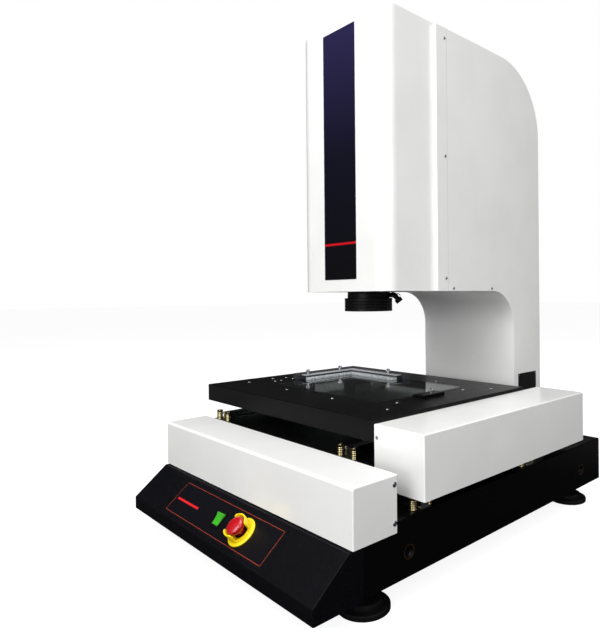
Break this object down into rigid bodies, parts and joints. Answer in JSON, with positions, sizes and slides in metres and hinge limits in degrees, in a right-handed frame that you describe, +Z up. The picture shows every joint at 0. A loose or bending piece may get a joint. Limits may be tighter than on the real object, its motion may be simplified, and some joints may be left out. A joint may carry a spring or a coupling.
{
  "type": "vision measuring machine",
  "caption": "Bench vision measuring machine with a granite base, motorised cross table with glass stage, arched column, camera head with ring light, and a sloping console with a stop button.",
  "frame": {"origin": "on the floor under the middle of the machine's bounding box, with the table parked to the left and back", "axes": "+X to the operator's right, +Y from the console to the column, +Z up"},
  "size_m": [0.6902, 0.8656, 1.048],
  "materials": {
    "granite": "black granite, fine grained, lapped and polished",
    "white_paint": "gloss white powder coat on steel sheet",
    "black_paint": "fine textured black powder coat",
    "black_anodised": "black anodised milled aluminium",
    "rail_steel": "ground hardened steel",
    "block_steel": "ground steel with plastic end caps",
    "bright_steel": "bright nickel plated steel",
    "brass": "ribbed pale brass sleeve",
    "zinc_steel": "zinc plated steel",
    "foot_rubber": "black rubber pad on a black steel disc",
    "cast_metal": "grey primed casting",
    "plain_aluminium": "milled aluminium",
    "motor_black": "black laminated stack with bare end bells",
    "glass": "float glass, ground edges",
    "clear_plastic": "clear acrylic with fine ribs",
    "dark_bar": "dark grey anodised bar",
    "overlay_film": "printed polyester film, bare but for a thin orange line",
    "label_film": "dark blue printed film strip, bare but for a red line",
    "black_plastic": "black moulded plastic",
    "green_plastic": "translucent green plastic key with black sides",
    "yellow_plastic": "yellow moulded plastic",
    "red_plastic": "red moulded plastic",
    "board": "green circuit board with black parts",
    "blank_plate": "bare black plate"
  },
  "bodies": {
    "frame": {"granite_base": "granite", "foot_sockets": "zinc_steel", "lifting_inserts": "zinc_steel", "console_shell": "black_paint", "panel_overlay": "overlay_film", "rocker_bezel": "black_plastic", "stop_guard": "yellow_plastic", "stop_body": "black_plastic", "control_board": "board", "x_rails": "rail_steel", "x_rail_stops": "brass", "x_drive_cover": "white_paint", "x_drive_supports": "plain_aluminium", "x_motor": "motor_black", "backlight": "black_anodised", "column_casting": "cast_metal", "column_cover": "white_paint", "head_cover": "white_paint", "head_floor": "black_paint", "head_label": "label_film", "rating_plate": "blank_plate", "cover_screws": "bright_steel", "power_inlet": "black_plastic", "z_rails": "rail_steel", "z_motor": "motor_black", "z_drive_supports": "plain_aluminium"},
    "saddle": {"saddle_plate": "black_anodised", "x_carriages": "block_steel", "x_nut_bracket": "plain_aluminium", "y_rails": "rail_steel", "y_rail_stops": "brass", "y_drive_cover": "white_paint", "y_cover_screws": "bright_steel", "y_drive_supports": "plain_aluminium", "y_motor": "motor_black"},
    "table": {"table_top": "black_anodised", "stage_glass": "glass", "y_carriages": "block_steel", "y_nut_bracket": "plain_aluminium", "stop_frame": "clear_plastic", "stop_frame_bar": "dark_bar", "cap_screws": "bright_steel", "clamp_block": "black_anodised", "table_screws": "bright_steel"},
    "z_head": {"z_carriage": "plain_aluminium", "z_carriages": "block_steel", "zoom_lens": "black_anodised", "camera": "black_anodised", "ring_light": "black_plastic", "light_plug": "black_plastic"},
    "zoom_collar": {"zoom_ring": "black_anodised"},
    "power_key": {"rocker": "green_plastic"},
    "stop_mushroom": {"stop_button": "red_plastic"},
    "x_drive_screw": {"x_screw": "rail_steel"},
    "y_drive_screw": {"y_screw": "rail_steel"},
    "z_drive_screw": {"z_screw": "rail_steel"},
    "pad_front_left": {"foot_front_left": "foot_rubber"},
    "pad_front_right": {"foot_front_right": "foot_rubber"},
    "pad_rear_left": {"foot_rear_left": "foot_rubber"},
    "pad_rear_right": {"foot_rear_right": "foot_rubber"}
  },
  "joints": [
    {"name": "x_slide", "type": "slide", "parent": "frame", "child": "saddle", "axis": [1, 0, 0], "range_m": [-0.068, 0.232]},
    {"name": "y_slide", "type": "slide", "parent": "saddle", "child": "table", "axis": [0, 1, 0], "range_m": [-0.156, 0.044]},
    {"name": "z_slide", "type": "slide", "parent": "frame", "child": "z_head", "axis": [0, 0, 1], "range_m": [-0.15, 0]},
    {"name": "x_screw_turn", "type": "hinge", "parent": "frame", "child": "x_drive_screw", "pos_m": [0.02485, -0.31675, 0.168], "axis": [1, 0, 0], "range_deg": [-2453, 8357]},
    {"name": "y_screw_turn", "type": "hinge", "parent": "saddle", "child": "y_drive_screw", "pos_m": [0.28985, 0.01025, 0.221], "axis": [0, 1, 0], "range_deg": [-5621, 1589]},
    {"name": "z_screw_turn", "type": "hinge", "parent": "frame", "child": "z_drive_screw", "pos_m": [0.02485, 0.02225, 0.7], "axis": [0, 0, 1], "range_deg": [-5405, 5]},
    {"name": "zoom_turn", "type": "hinge", "parent": "z_head", "child": "zoom_collar", "pos_m": [0.02485, -0.04275, 0.573], "axis": [0, 0, 1], "range_deg": [0, 120]},
    {"name": "power_rock", "type": "hinge", "parent": "frame", "child": "power_key", "pos_m": [0.02085, -0.40168, 0.08898], "axis": [1, 0, 0], "range_deg": [-32, 0]},
    {"name": "stop_press", "type": "slide", "parent": "frame", "child": "stop_mushroom", "axis": [0, 0.6319, -0.775], "range_m": [0, 0.005], "stiffness_N_per_m": 1200, "springref_m": -0.002},
    {"name": "foot_turn_front_left", "type": "hinge", "parent": "frame", "child": "pad_front_left", "pos_m": [-0.23315, -0.30275, 0], "axis": [0, 0, 1], "continuous": true},
    {"name": "foot_turn_front_right", "type": "hinge", "parent": "frame", "child": "pad_front_right", "pos_m": [0.28285, -0.30275, 0], "axis": [0, 0, 1], "continuous": true},
    {"name": "foot_turn_rear_left", "type": "hinge", "parent": "frame", "child": "pad_rear_left", "pos_m": [-0.23315, 0.34325, 0], "axis": [0, 0, 1], "continuous": true},
    {"name": "foot_turn_rear_right", "type": "hinge", "parent": "frame", "child": "pad_rear_right", "pos_m": [0.28285, 0.34325, 0], "axis": [0, 0, 1], "continuous": true}
  ],
  "couplings": [
    {"joint": "x_screw_turn", "follows": "x_slide", "rad_per_m": 628.32},
    {"joint": "y_screw_turn", "follows": "y_slide", "rad_per_m": 628.32},
    {"joint": "z_screw_turn", "follows": "z_slide", "rad_per_m": 628.32}
  ]
}
